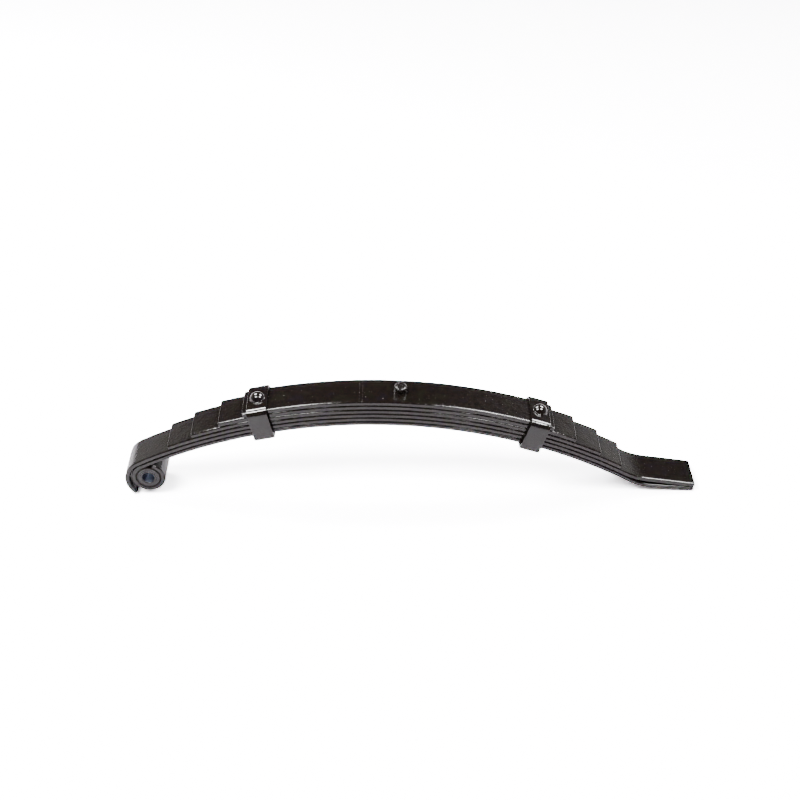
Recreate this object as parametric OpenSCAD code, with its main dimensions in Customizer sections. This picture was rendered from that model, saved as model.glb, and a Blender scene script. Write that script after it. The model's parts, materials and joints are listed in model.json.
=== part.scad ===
// Six-leaf slipper spring for a light trailer axle, standing on its two ends with the arch up.
// X runs from the rolled eye to the slipper tail, Y across the leaves, Z up.
// The origin is the centre of the eye bush bore.

/* [Leaf bar] */
// width of every leaf across the spring
leaf_width = 50; // [45:1:55]
// thickness of every leaf
leaf_thickness = 6; // [5:0.5:6.5]
// paint and air gap between neighbouring leaves
leaf_gap = 0.3; // [0.2:0.05:0.5]
// size of the rolled round on the long edges of the bar
edge_round = 1.9; // [1.6:0.1:2.3]

/* [Arch] */
// radius of the top surface of the short leaf
pack_radius = 695; // [670:5:740]
// half length of the short top leaf, measured along its arc
short_leaf_half = 203.5; // [201:0.5:210]
// half length of the leaf under the short leaf
fifth_leaf_half = 236; // [230:1:242]
// half length of the next longer leaf
fourth_leaf_half = 274; // [268:1:280]
// half length of the longest square-ended leaf
third_leaf_half = 308; // [302:1:314]

/* [Eye] */
// angle from the centre bolt round to the eye, about the centre of the arch
eye_angle = 30.5; // [29.5:0.1:32]
// radius of the bore rolled into the main leaf
eye_radius = 16.3; // [15:0.1:17]
// turn of the rolled eye
eye_turn = 312; // [300:1:314]
// inside radius of the open wrap on the second leaf
wrap_radius = 27.5; // [26.5:0.1:29]
// turn of the open wrap round the outside of the eye
wrap_turn = 110; // [80:1:125]

/* [Slipper tail] */
// angle from the centre bolt to where the second leaf starts to bend back
wrapper_bend_angle = 27.1; // [26.8:0.1:27.4]
// radius of the top surface of the second leaf in that bend
wrapper_bend_radius = 87.6; // [80:0.2:95]
// fall of the flat end of the second leaf
wrapper_tail_fall = 5.4; // [4.8:0.1:6]
// angle from the centre bolt to where the main leaf starts to bend back
main_bend_angle = 28.3; // [28.2:0.1:28.8]
// radius of the underside of the main leaf in that bend
main_bend_radius = 70; // [66:1:76]
// fall of the flat end of the main leaf
main_tail_fall = 2; // [1.6:0.1:2.6]
// distance from the centre bolt to the end of the tail
tail_length = 400.5; // [390:0.5:410]

/* [Bush] */
// wall of the outer shell of the bush
shell_wall = 1.5; // [1:0.1:2]
// bore radius of the inner sleeve, for the hanger bolt
sleeve_bore_radius = 8.1; // [6:0.1:8.5]
// wall of the inner sleeve
sleeve_wall = 2.4; // [1.5:0.1:3]
// how far the inner sleeve stands proud of the leaf at each side
sleeve_proud = 0.6; // [0.2:0.1:2]

/* [Strap clips] */
// width of each strap along the spring
clip_width = 26.6; // [20:0.2:30]
// thickness of the strap
clip_thickness = 3.5; // [2.5:0.25:4]
// distance from the centre bolt to the middle of each strap, along the short leaf
clip_position = 184.5; // [180:0.5:186]
// room between the strap and the edge of the leaves at each side
clip_side_air = 2.5; // [2.4:0.1:3]
// inside radius of the two upper strap bends
clip_bend = 5.5; // [4.5:0.1:5.5]
// inside radius of the two lower strap bends, where the ends are clinched under
clip_clinch_bend = 1.5; // [0.5:0.25:3]
// room between the clinched ends and the underside of the main leaf
clip_foot_air = 2.5; // [0.8:0.1:3]
// length of each strap end clinched under the main leaf, from the leaf edge inwards
clip_lip = 15; // [8:1:20]
// radius of the rivet head
rivet_head_radius = 10.1; // [8:0.1:10.5]
// height of the rivet head
rivet_head_height = 7.9; // [3:0.1:8]
// radius of the rivet shank
rivet_shank_radius = 4; // [3:0.1:4.5]

/* [Centre bolt] */
// radius of the round locating head
bolt_head_radius = 8.4; // [7:0.1:9]
// height of the round locating head
bolt_head_height = 9; // [5:0.5:10]
// radius of the bolt shank
bolt_radius = 5; // [4:0.5:6]
// size of the nut across its flats
nut_across_flats = 17; // [15:1:19]
// thickness of the nut
nut_thickness = 8; // [6:0.5:10]

/* [Output] */
// which piece to draw

/* [Hidden] */
$fn = 96;

// leaves are counted down from the short one at the top: 0 short ... 4 wrapper, 5 main
pitch = leaf_thickness + leaf_gap;
pack_depth = 5 * pitch + leaf_thickness;
function top_radius(i) = pack_radius - i * pitch;
function bottom_radius(i) = top_radius(i) - leaf_thickness;

// a point in the X-Z plane at radius r and angle a from the centre bolt, about the arch centre
function arch_point(r, a) = [r * sin(a), r * cos(a) - pack_radius];

// how far a bend laps over the bar it runs on from, and how much fuller it is
lap_length = 0.5;
bend_fuller = 0.02;

// the eye and the wrap both run on from the arch without a kink
eye_outer = eye_radius + leaf_thickness;
eye_centre = arch_point(top_radius(5) - eye_outer, -eye_angle);
wrap_centre = arch_point(bottom_radius(4) - wrap_radius, -eye_angle);
wrap_outer = wrap_radius + leaf_thickness;
wrap_tip = wrap_centre + wrap_outer * [cos(90 + eye_angle + wrap_turn), sin(90 + eye_angle + wrap_turn)];

// the underside of a tail: arch, reverse bend of radius r, then a flat that falls at an angle
function bend_centre(i, a, r) = arch_point(bottom_radius(i) + r, a);
function flat_start(i, a, r, fall) = bend_centre(i, a, r) - r * [sin(fall), cos(fall)];
function flat_length(i, a, r, fall) = (tail_length - flat_start(i, a, r, fall)[0]) / cos(fall);
main_flat = flat_start(5, main_bend_angle, main_bend_radius, main_tail_fall);
tail_corner = main_flat + (tail_length - main_flat[0]) * [1, -tan(main_tail_fall)];

// the spring stands on the tip of the wrap and the underside of the tail
stance_tilt = atan((tail_corner[1] - wrap_tip[1]) / (tail_corner[0] - wrap_tip[0]));

clip_angle = clip_position / pack_radius * 180 / PI;
clip_air = 0.4;
bolt_air = 0.25;
bush_air = 0.08;
shell_outer = eye_radius - bush_air;
shell_inner = shell_outer - shell_wall;
sleeve_outer = sleeve_bore_radius + sleeve_wall;
rubber_inner = sleeve_outer + 0.05;
end_chamfer = 0.8;

steel_black = [0.05, 0.05, 0.055];
rubber_black = [0.09, 0.09, 0.09];
zinc = [0.66, 0.69, 0.74];

// ---- placing ----

// from the level frame of the clamped middle, with the centre bolt on Z, to the standing frame
module stand() {
  rotate([0, stance_tilt, 0]) translate([-eye_centre[0], 0, -eye_centre[1]]) children();
}

// to the top of the short leaf at an angle round the arch, X along the leaf and Z out of it
module on_arch(a) {
  p = arch_point(pack_radius, a);
  translate([p[0], 0, p[1]]) rotate([0, a, 0]) children();
}

// ---- leaf bar ----

// cross-section of a leaf: thickness along X from 0, width along Y, long edges rolled round
module bar_section(fuller = 0) {
  t = leaf_thickness + fuller;
  w = leaf_width / 2 + fuller;
  corner = [for (a = [0 : 22.5 : 90]) edge_round * [1 - cos(a), 1 - sin(a)]];
  polygon(concat(
    [for (c = corner) [c[0] - fuller, -w + c[1]]],
    [for (k = [4 : -1 : 0]) [t - corner[k][0], -w + corner[k][1]]],
    [for (c = corner) [t - c[0], w - c[1]]],
    [for (k = [4 : -1 : 0]) [corner[k][0] - fuller, w - corner[k][1]]]
  ));
}

// a curved length of bar; angles run anticlockwise from +X in the X-Z plane
module bar_arc(centre, inner, from, turn, fuller = 0) {
  translate([centre[0], 0, centre[1]]) rotate([90, 0, 0])
    rotate_extrude(angle = turn, start = from) translate([inner, 0]) bar_section(fuller);
}

// a bend that runs on from a bar: a hair fuller, and lapped over the bar's end, so the two join
module bar_bend(centre, inner, from, turn, lap_start, lap_end) {
  lap = lap_length / inner * 180 / PI;
  bar_arc(centre, inner, from - lap_start * lap, turn + (lap_start + lap_end) * lap, bend_fuller);
}

// the reverse bend and the falling flat at the slipper end
module bar_tail(i, a, r, fall) {
  start = flat_start(i, a, r, fall) + leaf_thickness * [sin(fall), cos(fall)];
  bar_bend(bend_centre(i, a, r), r - leaf_thickness, 270 - a, a - fall, 1, 1);
  translate([start[0], 0, start[1]]) rotate([0, 90 + fall, 0])
    linear_extrude(flat_length(i, a, r, fall)) bar_section();
}

module bolt_hole() {
  translate([0, 0, -pack_depth - 20]) cylinder(r = bolt_radius + bolt_air, h = pack_depth + 40);
}

// a leaf that ends square at both ends
module plain_leaf(i, half) {
  a = half / (top_radius(i) - leaf_thickness / 2) * 180 / PI;
  stand() difference() {
    bar_arc([0, -pack_radius], bottom_radius(i), 90 - a, 2 * a);
    bolt_hole();
  }
}

module main_leaf() {
  color(steel_black) stand() difference() {
    union() {
      bar_arc([0, -pack_radius], bottom_radius(5), 90 - main_bend_angle, main_bend_angle + eye_angle);
      bar_bend(eye_centre, eye_radius, 90 + eye_angle, eye_turn, 1, 0);
      bar_tail(5, main_bend_angle, main_bend_radius, main_tail_fall);
    }
    bolt_hole();
  }
}

module wrapper_leaf() {
  under_radius = wrapper_bend_radius + leaf_thickness;
  color(steel_black) stand() difference() {
    union() {
      bar_arc([0, -pack_radius], bottom_radius(4), 90 - wrapper_bend_angle, wrapper_bend_angle + eye_angle);
      bar_bend(wrap_centre, wrap_radius, 90 + eye_angle, wrap_turn, 1, 0);
      bar_tail(4, wrapper_bend_angle, under_radius, wrapper_tail_fall);
    }
    bolt_hole();
  }
}

module third_leaf() {
  color(steel_black) plain_leaf(3, third_leaf_half);
}

module fourth_leaf() {
  color(steel_black) plain_leaf(2, fourth_leaf_half);
}

module fifth_leaf() {
  color(steel_black) plain_leaf(1, fifth_leaf_half);
}

// the short leaf also takes the two clip rivets, countersunk underneath
module short_leaf() {
  color(steel_black) difference() {
    plain_leaf(0, short_leaf_half);
    for (side = [-1, 1])
      stand() on_arch(side * clip_angle) rivet_hole();
  }
}

// ---- strap clips ----

function arc_points(c, r, from, to, n = 6) =
  [for (k = [0 : n]) c + r * [cos(from + (to - from) * k / n), sin(from + (to - from) * k / n)]];

// the strap round the pack, seen along the spring, open between the two clinched ends
module strap_profile() {
  top = clip_air + clip_thickness;
  side = leaf_width / 2 + clip_side_air + clip_thickness;
  low = -pack_depth - clip_foot_air - clip_thickness;
  lip = leaf_width / 2 - clip_lip;
  shoulder = clip_bend + clip_thickness;
  heel = clip_clinch_bend + clip_thickness;
  polygon(concat(
    [[lip, low]],
    arc_points([side - heel, low + heel], heel, -90, 0),
    arc_points([side - shoulder, top - shoulder], shoulder, 0, 90),
    arc_points([-side + shoulder, top - shoulder], shoulder, 90, 180),
    arc_points([-side + heel, low + heel], heel, 180, 270),
    [[-lip, low], [-lip, low + clip_thickness]],
    arc_points([-side + heel, low + heel], clip_clinch_bend, 270, 180),
    arc_points([-side + shoulder, top - shoulder], clip_bend, 180, 90),
    arc_points([side - shoulder, top - shoulder], clip_bend, 90, 0),
    arc_points([side - heel, low + heel], clip_clinch_bend, 0, -90),
    [[lip, low + clip_thickness]]
  ));
}

module rivet_hole() {
  air = 0.2;
  translate([0, 0, -leaf_thickness - 5]) cylinder(r = rivet_shank_radius + air, h = leaf_thickness + 15);
  translate([0, 0, -leaf_thickness - 0.5])
    cylinder(r1 = rivet_shank_radius + 2.5 + air, r2 = rivet_shank_radius + air, h = 2.5);
}

module clip(side) {
  color(steel_black) stand() on_arch(side * clip_angle) difference() {
    translate([-clip_width / 2, 0, 0]) rotate([90, 0, 90]) linear_extrude(clip_width) strap_profile();
    rivet_hole();
  }
}

module clip_rivet(side) {
  base = clip_air + clip_thickness;
  dome = (rivet_head_radius * rivet_head_radius + rivet_head_height * rivet_head_height) / (2 * rivet_head_height);
  foot = leaf_thickness - 0.1;
  color(steel_black) stand() on_arch(side * clip_angle) union() {
    translate([0, 0, base]) rotate_extrude() intersection() {
      translate([0, rivet_head_height - dome]) circle(r = dome);
      square([rivet_head_radius, rivet_head_height]);
    }
    translate([0, 0, -foot]) cylinder(r = rivet_shank_radius, h = foot + base + 0.5);
    translate([0, 0, -foot]) cylinder(r1 = rivet_shank_radius + 2, r2 = rivet_shank_radius, h = 2);
  }
}

module eye_end_clip() {
  clip(-1);
}

module slipper_end_clip() {
  clip(1);
}

module eye_end_clip_rivet() {
  clip_rivet(-1);
}

module slipper_end_clip_rivet() {
  clip_rivet(1);
}

// ---- centre bolt ----

module centre_bolt() {
  seat = 0.2;
  tip = -pack_depth - nut_thickness - 4;
  color(steel_black) stand() rotate_extrude() polygon([
    [0, tip],
    [bolt_radius - end_chamfer, tip],
    [bolt_radius, tip + end_chamfer],
    [bolt_radius, seat],
    [bolt_head_radius, seat],
    [bolt_head_radius, seat + bolt_head_height - end_chamfer],
    [bolt_head_radius - end_chamfer, seat + bolt_head_height],
    [0, seat + bolt_head_height]
  ]);
}

// hexagon with both faces chamfered, on the underside of the main leaf
module centre_bolt_nut() {
  seat = -pack_depth - 0.2;
  corner = nut_across_flats / 2 / cos(30);
  cut = corner - nut_across_flats / 2;
  color(steel_black) stand() translate([0, 0, seat - nut_thickness]) difference() {
    intersection() {
      cylinder(r = corner, h = nut_thickness, $fn = 6);
      rotate_extrude() polygon([
        [0, 0],
        [nut_across_flats / 2, 0],
        [corner, cut * 0.6],
        [corner, nut_thickness - cut * 0.6],
        [nut_across_flats / 2, nut_thickness],
        [0, nut_thickness]
      ]);
    }
    translate([0, 0, -1]) cylinder(r = bolt_radius + 0.02, h = nut_thickness + 2);
  }
}

// ---- eye bush, centred on the origin ----

// a tube along Y, chamfered at both ends
module bush_tube(outer, inner, length, chamfer) {
  rotate([90, 0, 0]) rotate_extrude() polygon([
    [inner, -length / 2],
    [outer - chamfer, -length / 2],
    [outer, -length / 2 + chamfer],
    [outer, length / 2 - chamfer],
    [outer - chamfer, length / 2],
    [inner, length / 2]
  ]);
}

module bush_outer_shell() {
  color(steel_black) bush_tube(shell_outer, shell_inner, leaf_width - 0.4, 0.5);
}

module bush_rubber() {
  color(rubber_black) bush_tube(shell_inner, rubber_inner, leaf_width - 0.8, 0.3);
}

module bush_inner_sleeve() {
  color(zinc) bush_tube(sleeve_outer, sleeve_bore_radius, leaf_width + 2 * sleeve_proud, 0.4);
}

main_leaf();
wrapper_leaf();
third_leaf();
fourth_leaf();
fifth_leaf();
short_leaf();
eye_end_clip();
slipper_end_clip();
eye_end_clip_rivet();
slipper_end_clip_rivet();
centre_bolt();
centre_bolt_nut();
bush_outer_shell();
bush_rubber();
bush_inner_sleeve();
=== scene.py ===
"""Looks of a slipper leaf spring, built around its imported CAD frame: metres, in the row frame."""
import json
import math

import bpy
import numpy as np
from mathutils import Matrix, Vector
from mathutils.kdtree import KDTree


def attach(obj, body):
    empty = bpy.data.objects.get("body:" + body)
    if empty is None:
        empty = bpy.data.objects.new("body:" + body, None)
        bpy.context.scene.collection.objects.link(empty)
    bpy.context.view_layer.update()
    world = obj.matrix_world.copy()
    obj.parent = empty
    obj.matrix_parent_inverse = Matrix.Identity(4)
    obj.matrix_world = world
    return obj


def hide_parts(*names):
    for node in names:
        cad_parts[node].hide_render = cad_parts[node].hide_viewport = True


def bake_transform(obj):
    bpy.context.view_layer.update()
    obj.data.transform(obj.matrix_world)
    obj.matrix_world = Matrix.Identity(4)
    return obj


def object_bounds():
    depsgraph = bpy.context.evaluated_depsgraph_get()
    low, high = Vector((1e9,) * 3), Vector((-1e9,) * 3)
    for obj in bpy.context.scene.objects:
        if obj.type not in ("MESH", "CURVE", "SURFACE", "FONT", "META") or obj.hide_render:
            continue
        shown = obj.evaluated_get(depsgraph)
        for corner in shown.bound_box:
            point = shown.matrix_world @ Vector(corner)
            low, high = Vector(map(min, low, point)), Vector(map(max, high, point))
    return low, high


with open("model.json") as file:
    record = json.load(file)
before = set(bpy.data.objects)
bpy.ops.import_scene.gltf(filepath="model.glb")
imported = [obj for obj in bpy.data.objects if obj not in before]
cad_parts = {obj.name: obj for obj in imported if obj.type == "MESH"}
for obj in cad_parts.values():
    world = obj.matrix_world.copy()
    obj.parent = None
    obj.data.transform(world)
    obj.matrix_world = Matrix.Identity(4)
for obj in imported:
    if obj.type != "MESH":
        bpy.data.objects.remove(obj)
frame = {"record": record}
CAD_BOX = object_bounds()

MM = 0.001

# ---- sizes, in millimetres in the pack frame: centre bolt on Z, top of the short leaf at 0 ----

LEAF_THICKNESS = 6.0
LEAF_HALF_WIDTH = 25.0
LEAF_EDGE_ROUND = 1.9
LEAF_PITCH = 6.3
PACK_RADIUS = 695.0
PACK_DEPTH = 37.5
BOLT_HOLE_RADIUS = 5.25

CLIP_ANGLE = math.degrees(184.5 / PACK_RADIUS)
STRAP_THICKNESS = 3.5
STRAP_HALF_WIDTH = 13.3
STRAP_EDGE_ROUND = 0.9
STRAP_BEND = 5.5 + STRAP_THICKNESS / 2
STRAP_CLINCH_BEND = 1.5 + STRAP_THICKNESS / 2
STRAP_TOP = 0.4 + STRAP_THICKNESS / 2
STRAP_LOW = -PACK_DEPTH - 2.5 - STRAP_THICKNESS / 2
STRAP_SIDE = LEAF_HALF_WIDTH + 2.5 + STRAP_THICKNESS / 2
STRAP_LIP = LEAF_HALF_WIDTH - 15.0
STRAP_FACE = 0.4 + STRAP_THICKNESS

RIVET_HEAD_RADIUS = 10.1
RIVET_HEAD_HEIGHT = 7.9
RIVET_SHANK_RADIUS = 4.0
RIVET_FOOT = -5.9
# how far the tools that cut the rivet holes reach above and below the short leaf's top
CUTTER_REACH = 12

BOLT_RADIUS = 5.0
BOLT_HEAD_RADIUS = 8.4
BOLT_SEAT = 0.2
BOLT_HEAD_TOP = 9.2
BOLT_TIP = -49.5
THREAD_PITCH = 1.5
THREAD_DEPTH = 0.85
NUT_TOP = -37.7
NUT_HEIGHT = 8.0
NUT_ACROSS_FLATS = 17.0

# how many steps round the turned pieces take, and the hexagon nut
TURNED_STEPS = 96
NUT_STEPS = 144

SHELL_OUTER, SHELL_INNER, SHELL_LENGTH = 16.22, 14.72, 49.6
RUBBER_INNER, RUBBER_LENGTH = 10.55, 49.2
SLEEVE_OUTER, SLEEVE_BORE, SLEEVE_LENGTH = 10.5, 8.1, 51.2

# the stretch of each half between the clamped middle and the strap, where the spring bends; the script works
# out points there but bends nothing
BEND_START = 50.0
BEND_END = 165.0


def turn(radius, degrees):
    """A length of arc: the radius of its mid-line, above 0 when it curves downwards, and its length."""
    return radius, abs(radius) * math.radians(degrees)


def flat(length):
    return None, length


def plain_half(index, length):
    return [(PACK_RADIUS - index * LEAF_PITCH - LEAF_THICKNESS / 2, length)]


# mid-thickness lines of the leaves' halves, from the centre bolt outwards: CAD node, eye half, slipper half
WRAPPER_RADIUS = PACK_RADIUS - 4 * LEAF_PITCH - LEAF_THICKNESS / 2
MAIN_RADIUS = PACK_RADIUS - 5 * LEAF_PITCH - LEAF_THICKNESS / 2
LEAVES = [
    ("short_leaf", plain_half(0, 203.5), plain_half(0, 203.5)),
    ("fifth_leaf", plain_half(1, 236.0), plain_half(1, 236.0)),
    ("fourth_leaf", plain_half(2, 274.0), plain_half(2, 274.0)),
    ("third_leaf", plain_half(3, 308.0), plain_half(3, 308.0)),
    ("wrapper_leaf",
     [turn(WRAPPER_RADIUS, 30.5), turn(30.5, 110.0)],
     [turn(WRAPPER_RADIUS, 27.1), turn(-90.6, 21.7), flat(64.6)]),
    ("main_leaf",
     [turn(MAIN_RADIUS, 30.5), turn(19.3, 312.0)],
     [turn(MAIN_RADIUS, 28.3), turn(-67.0, 26.3), flat(58.1)]),
]

# ---- placing ----

MOUNTS = {m["name"]: m for m in frame["record"]["mounts"]}
SEAT = np.array(MOUNTS["axle_seat"]["pos_m"], float)
UP = np.array(MOUNTS["axle_seat"]["axis"], float)
ACROSS = np.array([0.0, 1.0, 0.0])
ALONG = np.cross(ACROSS, UP)


def from_pack(x, y, z):
    """Millimetres in the pack frame to metres in the row frame."""
    local = np.stack(np.broadcast_arrays(x, y, z), -1) * MM
    return SEAT + local @ np.stack([ALONG, ACROSS, UP])


def on_arch(degrees):
    """A placer for points given along, across and out of the short leaf's top, at an angle round the arch."""
    a = math.radians(degrees)
    px, pz = PACK_RADIUS * math.sin(a), PACK_RADIUS * (math.cos(a) - 1)

    def place(x, y, z):
        return from_pack(px + x * math.cos(a) + z * math.sin(a), y, pz - x * math.sin(a) + z * math.cos(a))

    return place


def on_eye(x, y, z):
    """A placer for turned pieces on the eye's axis: their own Z runs along the row's Y."""
    return np.stack(np.broadcast_arrays(x, z, -y), -1) * MM


# ---- mesh making ----

def oriented(verts, faces):
    """The faces, all turned over if they enclose a negative volume."""
    volume = 0.0
    for size in (3, 4):
        same = np.array([f for f in faces if len(f) == size], int).reshape(-1, size)
        for k in range(1, size - 1):
            a, b, c = verts[same[:, 0]], verts[same[:, k]], verts[same[:, k + 1]]
            volume += np.einsum("ij,ij->i", a, np.cross(b, c)).sum()
    return [f[::-1] for f in faces] if volume < 0 else faces


def add_piece(name, verts, faces, material, sharp_below=0, coords=None):
    """A smooth-shaded mesh object. Edges among the first sharp_below vertices stay sharp."""
    mesh = bpy.data.meshes.new(name)
    loops = [tuple(int(i) for i in face) for face in oriented(verts, faces)]
    mesh.from_pydata([tuple(v) for v in verts], [], loops)
    mesh.shade_smooth()
    if sharp_below:
        ends = np.zeros(len(mesh.edges) * 2, np.int32)
        mesh.edges.foreach_get("vertices", ends)
        sharp = (ends.reshape(-1, 2) < sharp_below).all(1)
        mesh.attributes.new("sharp_edge", "BOOLEAN", "EDGE").data.foreach_set("value", sharp)
    if coords is not None:
        layer = mesh.attributes.new("bar", "FLOAT_VECTOR", "POINT")
        layer.data.foreach_set("vector", coords.astype(np.float32).ravel())
    mesh.materials.append(material)
    obj = bpy.data.objects.new(name, mesh)
    bpy.context.scene.collection.objects.link(obj)
    return obj


def advance(x, z, heading, radius, length):
    """Points and headings at lengths along one stretch. Heading is measured downwards from +X, in radians."""
    if radius is None:
        along, down = length * math.cos(heading), length * math.sin(heading)
        return np.stack([x + along, z - down, heading + 0 * length], -1)
    h = heading + length / radius
    along, rise = radius * (np.sin(h) - math.sin(heading)), radius * (np.cos(h) - math.cos(heading))
    return np.stack([x + along, z + rise, h], -1)


def follow(stretches, start, s):
    """Points and headings at lengths s along a line made of arcs and flats."""
    out, begin, at = np.zeros(s.shape + (3,)), 0.0, start
    for k, (radius, length) in enumerate(stretches):
        inside = s >= begin if k else np.ones(s.shape, bool)
        out[inside] = advance(*at, radius, s[inside] - begin)
        at = tuple(advance(*at, radius, np.array(length)))
        begin += length
    return out


def station_lengths(stretches, step):
    """Lengths along a line at which to put a cross-section, closer together in tight bends."""
    stations, begin = [0.0], 0.0
    for radius, length in stretches:
        pace = step if radius is None else min(step, abs(radius) * math.radians(6))
        count = max(1, round(length / pace))
        stations += [begin + length * (k + 1) / count for k in range(count)]
        begin += length
    return stations


def half_section(half_width, thickness, edge, columns):
    """The upper half of a bar's cross-section from side to side: across, height, and the outward normal."""
    steps = np.radians(np.arange(0, 91, 15))
    y0, h0, support = half_width - edge, thickness / 2 - edge, 0.2
    left = [(-half_width, 0, -1, 0), (-half_width, max(h0 - support, h0 / 2), -1, 0)]
    left += [(-y0 - edge * math.cos(a), h0 + edge * math.sin(a), -math.cos(a), math.sin(a)) for a in steps]
    flat_part = [(y, thickness / 2, 0, 1) for y in (-y0 + support, *columns, y0 - support)]
    right = [(-y, h, -ny, nh) for y, h, ny, nh in left[::-1]]
    return np.array(left + flat_part + right)


def sweep_bar(stretches, start, section, step, notch=None, field=None, lip=0.5, seam=True):
    """Sweeps a rounded bar along a line. Returns its line point, across, height, length, faces and ring size.

    The first end is a flat seam, with a half hole of radius notch, or a rounded lip. The last end is a lip.
    field(s, across, normal) gives a small offset across and out of the bar, as worked steel has.
    """
    count = len(section)
    ring = np.vstack([section, (section * [1, -1, 1, -1])[-2:0:-1]])
    total = sum(length for _, length in stretches)
    angles = np.radians([30, 60, 90])
    far = [(total - lip * (1 - math.sin(a)), lip * (1 - math.cos(a))) for a in angles] + [(total, lip + 0.2)]
    near = [(0.0, 0.0), (0.2, 0.0)] if seam else [(total - s, inset) for s, inset in far[::-1]]
    first, last = near[-1][0] + 0.4, total - lip - 0.2
    inner = [(s, 0.0) for s in station_lengths(stretches, step) if first < s < last - 0.4]
    if not seam:
        near += [(lip, 0.0), (lip + 0.2, 0.0)]
    rings = near + inner + [(last, 0.0), (total - lip, 0.0)] + far
    s = np.array([r[0] for r in rings])[:, None] + 0 * ring[:, 0]
    inset = np.array([r[1] for r in rings])[:, None]
    across = ring[:, 0] - inset * ring[:, 2]
    height = ring[:, 1] - inset * ring[:, 3]
    if notch:
        reach = 25.0
        s0 = np.sqrt(np.maximum(notch**2 - across**2, 0))
        s = np.where(s < reach, s0 + s * (1 - s0 / reach), s)
    if field:
        off_across, off_height = field(s, across)
        across = across + off_across * ring[:, 2] ** 2 * np.sign(ring[:, 2])
        height = height + off_height * ring[:, 3] ** 2
    line = follow(stretches, start, s)
    u = line[..., 0] + height * np.sin(line[..., 2])
    v = line[..., 1] + height * np.cos(line[..., 2])
    size, faces = len(ring), []
    for i in range(len(rings) - 1):
        a, b = i * size, (i + 1) * size
        faces += [(a + k, b + k, b + (k + 1) % size, a + (k + 1) % size) for k in range(size)]
    upper = np.arange(count)
    lower = np.concatenate([[0], np.arange(size - 1, count - 1, -1), [count - 1]])
    for base, back in ((0, False), ((len(rings) - 1) * size, True)):
        for k in range(count - 1):
            face = [upper[k], upper[k + 1], lower[k + 1], lower[k]]
            face = [base + f for f in dict.fromkeys(face)]
            faces.append(tuple(face[::-1]) if back else tuple(face))
    return u, v, across, height, s, faces, size


def waves(rng, count, shortest, longest):
    """A seeded smooth field of about unit size over a bar, from a sum of sines."""
    slant = 0.12
    terms = [(2 * math.pi / rng.uniform(shortest, longest), rng.uniform(-slant, slant),
              rng.uniform(0, 2 * math.pi)) for _ in range(count)]
    return lambda s, y: sum(np.sin(k * s + m * y + p) for k, m, p in terms) / math.sqrt(count)


def rounded(points, radii, support=0.15):
    """A turned profile with its corners rounded, and a support point beside each end of a round."""
    out = []
    for k, (p, r) in enumerate(zip(points, radii)):
        if not r:
            out.append(p)
            continue
        p, before, after = (np.array(q, float) for q in (p, points[k - 1], points[(k + 1) % len(points)]))
        d0, d1 = (before - p) / np.linalg.norm(before - p), (after - p) / np.linalg.norm(after - p)
        half = math.acos(np.clip(d0 @ d1, -1, 1)) / 2
        reach = r / math.tan(half)
        centre = p + (d0 + d1) / np.linalg.norm(d0 + d1) * r / math.sin(half)
        a, b = p + d0 * reach, p + d1 * reach
        a0 = math.atan2(*(a - centre)[::-1])
        a1 = math.atan2(*(b - centre)[::-1])
        sweep = (a1 - a0 + math.pi) % (2 * math.pi) - math.pi
        out.append(tuple(a + d0 * support))
        out += [tuple(centre + r * np.array([math.cos(a0 + sweep * t), math.sin(a0 + sweep * t)]))
                for t in np.linspace(0, 1, 5)]
        out.append(tuple(b + d1 * support))
    return out


def revolve(profile, closed, count=72, shape=None):
    """Turns a profile of (radius, z) about Z. An open profile starts and ends on the axis."""
    angles = np.arange(count) * 2 * math.pi / count
    body = profile if closed else profile[1:-1]
    r = np.array([p[0] for p in body], float)[:, None] + 0 * angles
    z = np.array([p[1] for p in body], float)[:, None] + 0 * angles
    if shape:
        r = shape(r, z, angles)
    points = np.stack([r * np.cos(angles), r * np.sin(angles), z], -1).reshape(-1, 3)
    rows = len(body)
    faces = []
    for i in range(rows if closed else rows - 1):
        a, b = i * count, (i + 1) % rows * count
        faces += [(a + k, a + (k + 1) % count, b + (k + 1) % count, b + k) for k in range(count)]
    if not closed:
        poles = [[0, 0, profile[0][1]], [0, 0, profile[-1][1]]]
        low, high, top = len(points), len(points) + 1, (rows - 1) * count
        points = np.vstack([points, poles])
        for k in range(count):
            n = (k + 1) % count
            faces += [(low, n, k), (high, top + k, top + n)]
    return points, faces


def add_turned(name, profile, closed, place, material, count=72, shape=None):
    points, faces = revolve(profile, closed, count, shape)
    return add_piece(name, place(*points.T), faces, material)


def cut_away(obj, cutter_points, cutter_faces):
    """Cuts a hole in a piece, drops the cutter, and gives the cut mesh the bar coordinates it had."""
    kept = obj.data.attributes.get("bar")
    if kept:
        lookup = KDTree(len(obj.data.vertices))
        for vertex in obj.data.vertices:
            lookup.insert(vertex.co, vertex.index)
        lookup.balance()
        known = [tuple(item.vector) for item in kept.data]
    mesh = bpy.data.meshes.new("cutter")
    mesh.from_pydata([tuple(p) for p in cutter_points], [], oriented(cutter_points, cutter_faces))
    cutter = bpy.data.objects.new("cutter", mesh)
    bpy.context.scene.collection.objects.link(cutter)
    modifier = obj.modifiers.new("hole", "BOOLEAN")
    modifier.operation, modifier.solver, modifier.object = "DIFFERENCE", "EXACT", cutter
    bpy.context.view_layer.update()
    cut = bpy.data.meshes.new_from_object(obj.evaluated_get(bpy.context.evaluated_depsgraph_get()))
    obj.modifiers.clear()
    obj.data = cut
    bpy.data.objects.remove(cutter)
    if kept:
        if "bar" in cut.attributes:
            cut.attributes.remove(cut.attributes["bar"])
        coords = [c for vertex in cut.vertices for c in known[lookup.find(vertex.co)[1]]]
        cut.attributes.new("bar", "FLOAT_VECTOR", "POINT").data.foreach_set("vector", coords)


# ---- materials ----

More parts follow.
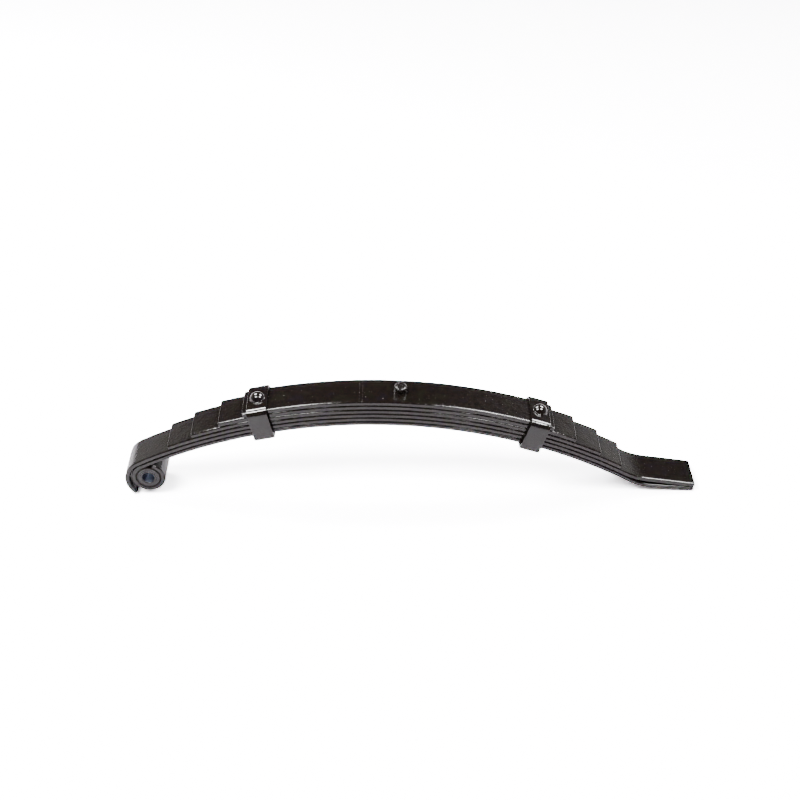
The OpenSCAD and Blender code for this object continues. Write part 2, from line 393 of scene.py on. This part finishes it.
class Graph:
    """A material's node tree, wired by short calls that return sockets."""

    def __init__(self, name, roughness, ior=1.5):
        self.material = bpy.data.materials.new(name)
        self.material.use_nodes = True
        self.tree = self.material.node_tree
        self.shader = next(n for n in self.tree.nodes if n.type == "BSDF_PRINCIPLED")
        self.shader.inputs["Roughness"].default_value = roughness
        self.shader.inputs["IOR"].default_value = ior

    def put(self, value, socket):
        if isinstance(value, bpy.types.NodeSocket):
            self.tree.links.new(value, socket)
        elif value is not None:
            socket.default_value = value

    def add(self, kind, values=(), **settings):
        node = self.tree.nodes.new("ShaderNode" + kind)
        for key, value in settings.items():
            setattr(node, key, value)
        for key, value in dict(values).items():
            self.put(value, node.inputs[key])
        return node

    def bar_coordinates(self):
        return self.add("Attribute", attribute_name="bar").outputs["Vector"]

    def object_coordinates(self):
        return self.add("TexCoord").outputs["Object"]

    def stretch(self, vector, scale, offset=(0, 0, 0), spin=0.0):
        values = {"Vector": vector, "Scale": scale, "Location": offset, "Rotation": (0, 0, spin)}
        return self.add("Mapping", values).outputs[0]

    def noise(self, vector, scale, detail=3.0, roughness=0.55, distortion=0.0):
        values = {"Vector": vector, "Scale": scale, "Detail": detail, "Roughness": roughness,
                  "Distortion": distortion}
        return self.add("TexNoise", values).outputs[0]

    def cells(self, vector, scale):
        node = self.add("TexVoronoi", {"Vector": vector, "Scale": scale})
        return node.outputs["Distance"], node.outputs["Color"]

    def math(self, operation, a, b=None):
        return self.add("Math", {0: a, 1: b}, operation=operation).outputs[0]

    def span(self, value, low, high, to_low=0.0, to_high=1.0):
        values = {"Value": value, "From Min": low, "From Max": high, "To Min": to_low, "To Max": to_high}
        return self.add("MapRange", values, interpolation_type="SMOOTHSTEP").outputs[0]

    def mix(self, factor, a, b):
        return self.add("Mix", {0: factor, 6: a, 7: b}, data_type="RGBA").outputs[2]

    def parts(self, vector):
        return self.add("SeparateXYZ", {0: vector}).outputs

    def bump(self, height, distance, normal=None):
        return self.add("Bump", {"Height": height, "Distance": distance, "Normal": normal}).outputs[0]

    def finish(self, colour, roughness, normal):
        for value, key in ((colour, "Base Color"), (roughness, "Roughness"), (normal, "Normal")):
            self.put(value, self.shader.inputs[key])
        return self.material


BLACK = (0.0035, 0.0028, 0.0027, 1)
BROWN = (0.0105, 0.0062, 0.0046, 1)
OLIVE = (0.0078, 0.0076, 0.0046, 1)
PURPLE = (0.0074, 0.0052, 0.0078, 1)
# light grey of dust nibs, paint lines and overspray, also used for the painted sheen of the streaks on the
# leaf tops
DUST_AND_SHEEN = (0.06, 0.053, 0.05, 1)

# depths of the paint's relief, in metres
RIPPLE_RELIEF = 0.00030
PEEL_RELIEF = 0.00028
GRAIN_RELIEF = 0.00006
NIB_RELIEF = 0.00004
STREAK_RELIEF = 0.00005

# where two faint lines cross the top of the leaves, in metres from the centre bolt along the bar
PAINT_LINES = (-0.0522, -0.0482)
STREAK_SLANT = 0.6
# two drops of overspray beside them: along and across the bar
PAINT_BLOBS = ((-0.0442, -0.0133), (-0.0223, -0.0165))
# how far from a line's or a drop's middle it starts and ends to fade, in metres
LINE_FADE = (0.0002, 0.0009)
BLOB_FADE = (0.0004, 0.0013)


def paint(name, on_bar, seed, low=0.05, high=0.13, orange_peel=1.0):
    """Gloss black paint over steel: mottled black, brown, olive and purple, with ripples, nibs and dust, and
    on the leaf tops lighter streaks that are a painted sheen.
    """
    g = Graph(name, roughness=low)
    at = g.stretch(g.bar_coordinates() if on_bar else g.object_coordinates(), (1, 1, 1), (seed, 0, 0))
    broad, patch = g.noise(at, 60, 4, 0.6, 0.4), g.noise(at, 260, 5, 0.65, 0.6)
    fine = g.noise(at, 900, 3, 0.6)
    grain = g.noise(at, 560, 3, 0.7)
    mottle = g.math("ADD", g.math("MULTIPLY", patch, 0.45), g.math("MULTIPLY", grain, 0.55))
    colour = g.mix(g.span(mottle, 0.44, 0.60), BLACK, BROWN)
    colour = g.mix(g.math("MULTIPLY", g.span(broad, 0.5, 0.66), 0.7), colour, OLIVE)
    colour = g.mix(g.math("MULTIPLY", g.span(broad, 0.36, 0.46, 1.0, 0.0), 0.6), colour, PURPLE)
    distance, chance = g.cells(at, 330)
    rare = g.math("GREATER_THAN", g.parts(chance)[0], 0.82)
    nib = g.math("MULTIPLY", g.span(distance, 0.05, 0.24, 1.0, 0.0), rare)
    colour = g.mix(g.math("MULTIPLY", nib, 0.6), colour, DUST_AND_SHEEN)
    if on_bar:
        s, y, level = g.parts(g.bar_coordinates())
        # lighter streaks on the leaf tops, strongest on the slipper half: their colour is a painted sheen, a
        # painted reflection on the gloss; their bump is real relief
        sheen_and_relief_streak = g.noise(g.stretch(at, (0.3, 1, 1), spin=STREAK_SLANT), 760, 3, 0.7)
        reach = g.math("MULTIPLY", g.span(s, 0.02, 0.15, 0.03, 0.34), g.span(s, 0.300, 0.325, 1.0, 0.15))
        sheen_and_relief_streak = g.math("MULTIPLY", g.span(sheen_and_relief_streak, 0.46, 0.70), reach)
        colour = g.mix(sheen_and_relief_streak, colour, DUST_AND_SHEEN)
        on_top = g.math("MULTIPLY", g.math("LESS_THAN", level, 0.01), g.span(level, 0.0022, 0.0029))
        dotted = g.span(g.noise(g.stretch(g.bar_coordinates(), (0.3, 1, 0)), 620, 2), 0.49, 0.60, 0.0, 0.6)
        for place in PAINT_LINES:
            near = g.span(g.math("ABSOLUTE", g.math("SUBTRACT", s, place)), *LINE_FADE, 1.0, 0.0)
            colour = g.mix(g.math("MULTIPLY", g.math("MULTIPLY", near, dotted), on_top), colour, DUST_AND_SHEEN)
        for along, over in PAINT_BLOBS:
            away = [g.math("POWER", g.math("SUBTRACT", a, b), 2.0) for a, b in ((s, along), (y, over))]
            blob = g.span(g.math("SQRT", g.math("ADD", *away)), *BLOB_FADE, 1.0, 0.0)
            colour = g.mix(g.math("MULTIPLY", blob, on_top), colour, DUST_AND_SHEEN)
    dull = g.math("ADD", g.math("MULTIPLY", patch, 0.7), g.math("MULTIPLY", fine, 0.3))
    rough = g.span(dull, 0.35, 0.68, low, high)
    normal = g.bump(broad, RIPPLE_RELIEF)
    normal = g.bump(g.noise(at, 300, 2, 0.5), PEEL_RELIEF * orange_peel, normal)
    normal = g.bump(fine, GRAIN_RELIEF * orange_peel, normal)
    normal = g.bump(nib, NIB_RELIEF, normal)
    if on_bar:
        normal = g.bump(sheen_and_relief_streak, STREAK_RELIEF, normal)
    return g.finish(colour, rough, normal)


def rubber():
    g = Graph("bush_rubber", roughness=0.6, ior=1.5)
    at = g.object_coordinates()
    fine, broad = g.noise(at, 1400, 3), g.noise(at, 120, 3)
    colour = g.mix(g.span(broad, 0.35, 0.7), (0.008, 0.0075, 0.008, 1), (0.016, 0.0145, 0.0145, 1))
    rough = g.span(fine, 0.3, 0.7, 0.12, 0.24)
    return g.finish(colour, rough, g.bump(fine, 0.00001, g.bump(broad, 0.00008)))


def zinc():
    """Zinc plate in the bore: bluish, with a turned grain and a dull bloom. Its ends carry black paint."""
    g = Graph("sleeve_zinc", roughness=0.3)
    at = g.object_coordinates()
    grain = g.noise(g.stretch(at, (1, 0.05, 1)), 1500, 3)
    bloom = g.noise(at, 160, 4, 0.6)
    colour = g.mix(g.span(bloom, 0.35, 0.7), (0.30, 0.33, 0.39, 1), (0.17, 0.19, 0.23, 1))
    dull = g.math("ADD", g.math("MULTIPLY", grain, 0.5), g.math("MULTIPLY", bloom, 0.5))
    rough = g.span(dull, 0.35, 0.65, 0.24, 0.46)
    end = g.math("ABSOLUTE", g.parts(at)[1])
    bare = g.span(g.math("ADD", end, g.math("MULTIPLY", bloom, 0.0012)), 0.0251, 0.0255, 1.0, 0.0)
    g.put(bare, g.shader.inputs["Metallic"])
    colour = g.mix(bare, BLACK, colour)
    rough = g.math("MULTIPLY", rough, g.span(bare, 0.0, 1.0, 0.35, 1.0))
    return g.finish(colour, rough, g.bump(grain, 0.00001, g.bump(bloom, 0.00005)))


LEAF_PAINT = paint("leaf_paint", True, 0.0)
STRAP_PAINT = paint("strap_paint", False, 3.0, orange_peel=0.18)
FASTENER_PAINT = paint("fastener_paint", False, 6.0, 0.05, 0.11, 0.18)
BOLT_PAINT = paint("bolt_paint", False, 12.0, 0.16, 0.32, 0.35)
SHELL_PAINT = paint("shell_paint", False, 9.0, 0.3, 0.5)
SHELL_PAINT.node_tree.nodes["Principled BSDF"].inputs["Specular IOR Level"].default_value = 0.12
RUBBER = rubber()
ZINC = zinc()

# ---- leaves: each is two pieces that meet at the centre bolt, one for each half; the halves are not attached to a hinge here ----

# where across a leaf its faces are divided, closer together beside the bolt's hole
LEAF_COLUMNS = (-21, -18, -15, -12, -9, -7, -5.25, -4.55, -3.2, -1.6, 0,
                1.6, 3.2, 4.55, 5.25, 7, 9, 12, 15, 18, 21)
LEAF_SECTION = half_section(LEAF_HALF_WIDTH, LEAF_THICKNESS, LEAF_EDGE_ROUND, LEAF_COLUMNS)
HALVES = (("eye", -1, "eye_arm"), ("slipper", 1, "slipper_arm"))
LEAF_SEED = 100
STRAP_SEED = 300


def leaf_field(index, side):
    """How a leaf strays from the true bar: it sits a little to one side, and its faces and edges wave."""
    rng = np.random.default_rng(LEAF_SEED + index)
    shift = rng.uniform(-0.2, 0.2)
    top, near = waves(rng, 5, 25, 70), waves(rng, 5, 22, 90)
    far, ripple = waves(rng, 5, 22, 90), waves(rng, 6, 5, 12)

    def field(s, across):
        signed = side * s
        edge = np.where(across < 0, -shift + 0.09 * near(signed, across), shift + 0.09 * far(signed, across))
        return edge + 0.012 * ripple(signed, across), 0.035 * top(signed, across)

    return field


def rivet_hole():
    """The countersunk hole that the short leaf has under each strap."""
    air = 0.2
    narrow, wide = RIVET_SHANK_RADIUS + air, RIVET_SHANK_RADIUS + 2.5 + air
    profile = [(0, -CUTTER_REACH), (wide, -CUTTER_REACH), (wide, RIVET_FOOT - 0.6),
               (narrow, RIVET_FOOT + 1.9), (narrow, CUTTER_REACH), (0, CUTTER_REACH)]
    return revolve(profile, False, 48)


for index, (node, *lines) in enumerate(LEAVES):
    for (half, side, arm), line in zip(HALVES, lines):
        start = (0.0, line[0][0] - PACK_RADIUS, 0.0)
        u, v, across, height, s, faces, ring_size = sweep_bar(
            line, start, LEAF_SECTION, 2.5, BOLT_HOLE_RADIUS, leaf_field(index, side))
        bar = np.stack([side * s, across, height + 100.0 * index], -1).reshape(-1, 3) * MM
        points = from_pack(side * u, across, v).reshape(-1, 3)
        piece = add_piece(f"{node}_{half}_half", points, faces, LEAF_PAINT, ring_size, bar)
        if node == "short_leaf":
            hole_points, hole_faces = rivet_hole()
            cut_away(piece, on_arch(side * CLIP_ANGLE)(*hole_points.T), hole_faces)
        drop = [PACK_RADIUS - math.sqrt(PACK_RADIUS**2 - x**2) for x in (BEND_START, BEND_END)]
        from_pack(side * BEND_START, 0, -drop[0])
        from_pack(side * BEND_END, 0, -drop[1])
        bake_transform(piece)
        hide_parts(node)

# ---- strap clips and their rivets ----

STRAP_COLUMNS = (-9, -6, -3, 0, 3, 6, 9)
STRAP_SECTION = half_section(STRAP_HALF_WIDTH, STRAP_THICKNESS, STRAP_EDGE_ROUND, STRAP_COLUMNS)
STRAP_SHOULDER, STRAP_HEEL = turn(STRAP_BEND, 90), turn(STRAP_CLINCH_BEND, 90)
STRAP_LEG = flat(STRAP_TOP - STRAP_LOW - STRAP_BEND - STRAP_CLINCH_BEND)
STRAP_FOLD = flat(STRAP_SIDE - STRAP_CLINCH_BEND - STRAP_LIP)
STRAP_LINE = [STRAP_FOLD, STRAP_HEEL, STRAP_LEG, STRAP_SHOULDER, flat(2 * (STRAP_SIDE - STRAP_BEND)),
              STRAP_SHOULDER, STRAP_LEG, STRAP_HEEL, STRAP_FOLD]


def rivet_profile():
    """Foot, shank, the underside of the head, a small paint fillet, then the dome."""
    dome = (RIVET_HEAD_RADIUS**2 + RIVET_HEAD_HEIGHT**2) / (2 * RIVET_HEAD_HEIGHT)
    centre = STRAP_FACE + RIVET_HEAD_HEIGHT - dome
    low = math.asin((STRAP_FACE + 0.9 - centre) / dome)
    cap = [(dome * math.cos(a), centre + dome * math.sin(a)) for a in np.linspace(low, math.pi / 2, 24)[:-1]]
    face = STRAP_FACE + 0.02
    flare = [(RIVET_HEAD_RADIUS + 0.62 * (1 - t) ** 2, face + 0.7 * t**1.4) for t in np.linspace(0, 0.92, 6)]
    shank = [(RIVET_SHANK_RADIUS + 2, RIVET_FOOT), (RIVET_SHANK_RADIUS + 2, RIVET_FOOT + 0.2),
             (RIVET_SHANK_RADIUS, RIVET_FOOT + 2.2), (RIVET_SHANK_RADIUS, face)]
    return [(0, RIVET_FOOT), *shank, *flare, *cap, (0, centre + dome)]


for number, (half, side, arm) in enumerate(HALVES):
    place = on_arch(side * CLIP_ANGLE)
    rng = np.random.default_rng(STRAP_SEED + number)
    face_wave, edge_wave = waves(rng, 5, 14, 50), waves(rng, 5, 9, 40)
    u, v, across, height, s, faces, ring_size = sweep_bar(
        STRAP_LINE, (-STRAP_LIP, STRAP_LOW, math.pi), STRAP_SECTION, 2.0,
        field=lambda s, x: (0.12 * edge_wave(s, x * 3), 0.05 * face_wave(s, x * 3)), lip=0.6, seam=False)
    points = place(across, u, v).reshape(-1, 3)
    strap = add_piece(f"{half}_end_strap", points, faces, STRAP_PAINT)
    hole_radius = RIVET_SHANK_RADIUS + 0.2
    hole = revolve([(0, -CUTTER_REACH), (hole_radius, -CUTTER_REACH), (hole_radius, CUTTER_REACH),
                    (0, CUTTER_REACH)], False, 48)
    cut_away(strap, place(*hole[0].T), hole[1])
    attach(strap, arm)
    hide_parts(f"{half}_end_clip")
    rivet = add_turned(f"{half}_end_rivet", rivet_profile(), False, place, FASTENER_PAINT,
                       TURNED_STEPS)
    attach(rivet, arm)
    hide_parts(f"{half}_end_clip_rivet")

# ---- centre bolt and nut ----


def thread(r, z, angles):
    """Cuts a screw thread into the bolt's end, fading out at the tip and inside the nut."""
    phase = (z / THREAD_PITCH - angles / (2 * math.pi)) % 1.0
    ridge = np.clip(np.abs(phase - 0.5) * 2.6 - 0.15, 0, 1)
    fade = np.clip((z - BOLT_TIP) / 0.5, 0, 1) * np.clip((NUT_TOP - 1.5 - z) / 1.0, 0, 1)
    return np.where((r > BOLT_RADIUS - 1.5) & (z < NUT_TOP), r - THREAD_DEPTH * (1 - ridge) * fade, r)


def hexagon(r, z, angles):
    """Keeps a turned blank inside a hexagon with softened corners and edges, corners along X."""
    flats = sum(np.abs(np.cos(angles - math.radians(30 + 60 * k))) ** 60 for k in range(3)) ** (-1 / 60)
    limit = NUT_ACROSS_FLATS / 2 * flats
    outer = r > BOLT_RADIUS + 1.6
    return np.where(outer, -np.log(np.exp(-r * 8) + np.exp(-limit * 8)) / 8, r)


thread_steps = [(BOLT_RADIUS, z) for z in np.arange(BOLT_TIP + 0.9, NUT_TOP, 0.125)]
head = rounded([(BOLT_RADIUS, BOLT_SEAT), (BOLT_HEAD_RADIUS, BOLT_SEAT), (BOLT_HEAD_RADIUS, BOLT_HEAD_TOP),
                (0, BOLT_HEAD_TOP)], [0, 0.35, 2.2, 0])
bolt_profile = [(0, BOLT_TIP), (BOLT_RADIUS - 1.2, BOLT_TIP), (BOLT_RADIUS - 0.9, BOLT_TIP + 0.05),
                *thread_steps, *head[:-1], (4.0, BOLT_HEAD_TOP), (0, BOLT_HEAD_TOP)]
bolt = add_turned("centre_bolt_turned", bolt_profile, False, from_pack, BOLT_PAINT,
                  TURNED_STEPS, thread)
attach(bolt, "leaf_pack")
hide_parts("centre_bolt")

corner = NUT_ACROSS_FLATS / 2 / math.cos(math.radians(30))
nut_low, nut_bore = NUT_TOP - NUT_HEIGHT, BOLT_RADIUS + 0.05
nut_side = [(corner + 0.2, z) for z in np.linspace(nut_low + 1.1, NUT_TOP - 1.1, 9)]
nut_face_low = [(r, nut_low) for r in (nut_bore + 0.7, nut_bore + 1.4, 7.0, 7.6)]
nut_face_top = [(r, NUT_TOP) for r in (7.6, 7.0, nut_bore + 1.4, nut_bore + 0.7)]
nut_chamfer = [(7.9, nut_low + 0.02), (8.6, nut_low + 0.42), (9.3, nut_low + 0.8)]
nut_chamfer_top = [(r, 2 * NUT_TOP - NUT_HEIGHT - z) for r, z in nut_chamfer[::-1]]
nut_inner = [(nut_bore, NUT_TOP - 0.7), (nut_bore, nut_low + 0.7)]
nut_profile = [*nut_face_low, *nut_chamfer, *nut_side, *nut_chamfer_top, *nut_face_top, *nut_inner]
nut = add_turned("centre_bolt_hex_nut", nut_profile, True, from_pack, FASTENER_PAINT,
                 NUT_STEPS, hexagon)
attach(nut, "leaf_pack")
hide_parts("centre_bolt_nut")

# ---- eye bush ----


def tube(outer, inner, length, outer_round, inner_round, dish=0.0):
    """A turned tube whose end faces are dished by a little, as moulded rubber is."""
    half = length / 2
    corners = [(inner, -half), (outer, -half), (outer, half), (inner, half)]
    ring = rounded(corners, [inner_round, outer_round, outer_round, inner_round])
    if not dish:
        return ring
    mid, reach = (outer + inner) / 2, (outer - inner) / 2 - 0.6
    bowl = [(mid + reach * t, half - dish * (1 - t * t)) for t in np.linspace(0.95, -0.95, 9)]
    size = len(ring) // 4
    return [*ring[:size], *[(r, -z) for r, z in bowl[::-1]], *ring[size:3 * size], *bowl, *ring[3 * size:]]


SHELL_TUBE = tube(SHELL_OUTER, SHELL_INNER, SHELL_LENGTH, 0.5, 0.3)
RUBBER_TUBE = tube(SHELL_INNER, RUBBER_INNER, RUBBER_LENGTH, 0.3, 0.3, 0.25)
SLEEVE_TUBE = tube(SLEEVE_OUTER, SLEEVE_BORE, SLEEVE_LENGTH, 0.5, 0.8)
BUSH = [
    ("bush_shell_tube", "bush_outer_shell", SHELL_TUBE, SHELL_PAINT, "shell_paint", "eye_arm"),
    ("bush_rubber_ring", "bush_rubber", RUBBER_TUBE, RUBBER, "bush_rubber", "eye_arm"),
    ("bush_sleeve_tube", "bush_inner_sleeve", SLEEVE_TUBE, ZINC, "sleeve_zinc", "bush_sleeve"),
]
for name, node, profile, material, slot_name, body in BUSH:
    piece = add_turned(name, profile, True, on_eye, material, TURNED_STEPS)
    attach(piece, body)
    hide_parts(node)

# ---- floor, light and camera ----

CENTRE = (CAD_BOX[0] + CAD_BOX[1]) / 2
FLOOR_HALF = 4.0
FLOOR_LIGHT = (0.80, 0.77, 0.81)
FLOOR_SEEN = (6.8, 6.68, 6.9)
SKY_SEEN = 16.0
SKY_BACK, SKY_FRONT, SKY_HIGH = 0.95, 0.15, 0.06
SKY_BAND = (15.5, 28.0)
# soft boxes hang level overhead; their extents in X and Y are shares of the height at which they hang
LAMP_HEIGHT = 1.8
# those that light the floor and the paint's own colour, with their radiance
GLOW_BOXES = ((-1.0, -0.35, -0.65, -0.1, 23.0), (0.4, 1.1, -0.65, -0.1, 12.0),
              (-1.0, -0.35, 0.34, 0.75, 20.0), (0.4, 1.1, 0.34, 0.75, 10.0))
# those that the gloss mirrors
SHINE_BOXES = ((-0.70, -0.26, -0.39, -0.13, 66.0), (0.32, 0.83, -0.39, -0.13, 66.0),
               (-0.85, -0.28, 0.36, 0.80, 60.0), (0.36, 0.95, 0.36, 0.80, 60.0))


def add_floor():
    """A white studio floor, lighter to the camera so that only soft shadows show, and open from below."""
    x, y, z, h = CENTRE.x, CENTRE.y, CAD_BOX[0].z, FLOOR_HALF
    mesh = bpy.data.meshes.new("floor")
    corners = [(x - h, y - h, z), (x + h, y - h, z), (x + h, y + h, z), (x - h, y + h, z)]
    mesh.from_pydata(corners, [], [(0, 1, 2, 3)])
    material = bpy.data.materials.new("floor")
    material.use_nodes = True
    tree = material.node_tree
    tree.nodes.clear()
    make, link = tree.nodes.new, tree.links.new
    path, side = make("ShaderNodeLightPath"), make("ShaderNodeNewGeometry")
    plain, seen = make("ShaderNodeBsdfDiffuse"), make("ShaderNodeBsdfDiffuse")
    clear, out = make("ShaderNodeBsdfTransparent"), make("ShaderNodeOutputMaterial")
    by_ray, by_side = make("ShaderNodeMixShader"), make("ShaderNodeMixShader")
    plain.inputs["Color"].default_value = (*FLOOR_LIGHT, 1)
    seen.inputs["Color"].default_value = (*FLOOR_SEEN, 1)
    for a, b in ((path.outputs["Is Camera Ray"], by_ray.inputs[0]), (plain.outputs[0], by_ray.inputs[1]),
                 (seen.outputs[0], by_ray.inputs[2]), (side.outputs["Backfacing"], by_side.inputs[0]),
                 (by_ray.outputs[0], by_side.inputs[1]), (clear.outputs[0], by_side.inputs[2]),
                 (by_side.outputs[0], out.inputs["Surface"])):
        link(a, b)
    mesh.materials.append(material)
    floor = bpy.data.objects.new("floor", mesh)
    bpy.context.scene.collection.objects.link(floor)


def add_sky():
    """Reflections see a bright band above the horizon and a dark ceiling; the camera sees plain white."""
    world = bpy.data.worlds.new("studio")
    bpy.context.scene.world = world
    world.use_nodes = True
    tree = world.node_tree
    tree.nodes.clear()
    make, link = tree.nodes.new, tree.links.new
    coordinates, split = make("ShaderNodeTexCoord"), make("ShaderNodeSeparateXYZ")
    band, low = make("ShaderNodeMapRange"), make("ShaderNodeMapRange")
    path, level, sky = make("ShaderNodeLightPath"), make("ShaderNodeMix"), make("ShaderNodeBackground")
    out = make("ShaderNodeOutputWorld")
    band.interpolation_type = "SMOOTHSTEP"
    low.interpolation_type = "SMOOTHSTEP"
    for node, ends in ((band, (*(math.sin(math.radians(a)) for a in SKY_BAND), SKY_BACK, SKY_HIGH)),
                       (low, (-0.5, 0.2, SKY_FRONT, SKY_BACK))):
        for key, value in zip(("From Min", "From Max", "To Min", "To Max"), ends):
            node.inputs[key].default_value = value
    level.inputs[3].default_value = SKY_SEEN
    for a, b in ((coordinates.outputs["Generated"], split.inputs[0]),
                 (split.outputs[2], band.inputs["Value"]),
                 (split.outputs[1], low.inputs["Value"]), (low.outputs[0], band.inputs["To Min"]),
                 (path.outputs["Is Camera Ray"], level.inputs[0]), (band.outputs[0], level.inputs[2]),
                 (level.outputs[0], sky.inputs["Strength"]), (sky.outputs[0], out.inputs["Surface"])):
        link(a, b)


def add_lamps():
    """Level soft boxes overhead. Paint mirrors them brighter than they light the floor."""
    for kind, boxes in (("glow", GLOW_BOXES), ("shine", SHINE_BOXES)):
        for number, (x0, x1, y0, y1, radiance) in enumerate(boxes):
            light = bpy.data.lights.new(f"soft_box_{kind}_{number}", "AREA")
            light.shape = "RECTANGLE"
            light.size, light.size_y = (x1 - x0) * LAMP_HEIGHT, (y1 - y0) * LAMP_HEIGHT
            light.energy = 4 * light.size * light.size_y * radiance
            light.cycles.use_multiple_importance_sampling = kind == "shine"
            lamp = bpy.data.objects.new(light.name, light)
            lamp.location = CENTRE + Vector(((x0 + x1) / 2, (y0 + y1) / 2, 1)) * LAMP_HEIGHT
            lamp.visible_camera = False
            lamp.visible_glossy, lamp.visible_diffuse = kind == "shine", kind == "glow"
            bpy.context.scene.collection.objects.link(lamp)


def add_camera():
    """A camera at the photograph's angle: elevation 37.25 degrees, turned half a degree to the right."""
    elevation, heading = math.radians(37.25), math.radians(0.5077)
    aim, distance, lift = Vector((0.3332, 0, 0.1229)), 1.6711, 0.01181
    forward = Vector((math.sin(heading) * math.cos(elevation), math.cos(heading) * math.cos(elevation),
                      -math.sin(elevation)))
    right = Vector((math.cos(heading), -math.sin(heading), 0))
    up = right.cross(forward)
    data = bpy.data.cameras.new("camera")
    data.sensor_width, data.lens = 36.0, 58.595
    data.clip_start, data.clip_end = 0.01, 50
    camera = bpy.data.objects.new("camera", data)
    rotation = Matrix((right, up, -forward)).transposed().to_4x4()
    camera.matrix_world = Matrix.Translation(aim - forward * distance - up * lift) @ rotation
    bpy.context.scene.collection.objects.link(camera)
    bpy.context.scene.camera = camera


add_floor()
add_sky()
add_lamps()
add_camera()
